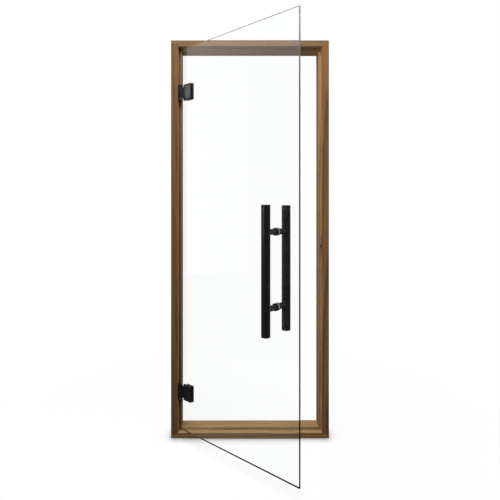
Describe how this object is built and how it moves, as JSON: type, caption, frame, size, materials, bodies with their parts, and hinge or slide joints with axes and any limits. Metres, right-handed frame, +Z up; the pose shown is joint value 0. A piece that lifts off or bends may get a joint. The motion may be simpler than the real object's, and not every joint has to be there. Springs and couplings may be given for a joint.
{
  "type": "sauna door",
  "caption": "Frameless clear glass sauna door on black clamp hinges in a rebated dark wooden frame, with a back-to-back black bar handle, shown open.",
  "frame": {"origin": "middle of the sill's underside, in the middle of the frame's width and depth", "axes": "+X to the latch side seen from the room, +Y from the room into the cabin, +Z up"},
  "size_m": [0.79, 0.5323, 1.99],
  "materials": {
    "heat_treated_wood": "heat-treated softwood, planed and oiled",
    "seal_rubber": "brown silicone",
    "clear_glass": "clear toughened glass",
    "gasket_rubber": "black rubber sheet",
    "clear_plastic": "clear plastic",
    "catch_steel": "dark bronzed steel",
    "fixing_steel": "stainless steel",
    "handle_black": "satin black powder coat",
    "hinge_black": "satin black powder coat"
  },
  "bodies": {
    "frame": {"hinge_jamb": "heat_treated_wood", "latch_jamb": "heat_treated_wood", "head": "heat_treated_wood", "sill": "heat_treated_wood", "hinge_side_seal": "seal_rubber", "latch_side_seal": "seal_rubber", "head_seal": "seal_rubber", "sill_seal": "seal_rubber", "catch_plate": "catch_steel", "catch_case": "catch_steel", "catch_slider": "catch_steel", "catch_roller": "catch_steel", "upper_jamb_bracket": "hinge_black", "lower_jamb_bracket": "hinge_black", "upper_hinge_pin": "fixing_steel", "lower_hinge_pin": "fixing_steel", "upper_thrust_washer": "fixing_steel", "lower_thrust_washer": "fixing_steel"},
    "leaf": {"glass_pane": "clear_glass", "upper_clamp_outer_plate": "hinge_black", "upper_clamp_inner_plate": "hinge_black", "upper_clamp_outer_gasket": "gasket_rubber", "upper_clamp_inner_gasket": "gasket_rubber", "lower_clamp_outer_plate": "hinge_black", "lower_clamp_inner_plate": "hinge_black", "lower_clamp_outer_gasket": "gasket_rubber", "lower_clamp_inner_gasket": "gasket_rubber", "upper_clamp_top_screw": "fixing_steel", "upper_clamp_bottom_screw": "fixing_steel", "lower_clamp_top_screw": "fixing_steel", "lower_clamp_bottom_screw": "fixing_steel", "outer_pull_bar": "handle_black", "inner_pull_bar": "handle_black", "upper_outer_standoff": "handle_black", "lower_outer_standoff": "handle_black", "upper_inner_standoff": "handle_black", "lower_inner_standoff": "handle_black", "upper_outer_washer": "clear_plastic", "lower_outer_washer": "clear_plastic", "upper_inner_washer": "clear_plastic", "lower_inner_washer": "clear_plastic", "upper_through_stud": "fixing_steel", "lower_through_stud": "fixing_steel"}
  },
  "joints": [
    {"name": "leaf_hinge", "type": "hinge", "parent": "frame", "child": "leaf", "pos_m": [-0.345, -0.044, 0.995], "axis": [0, 0, -1], "range_deg": [-40.3, 59.7]}
  ]
}
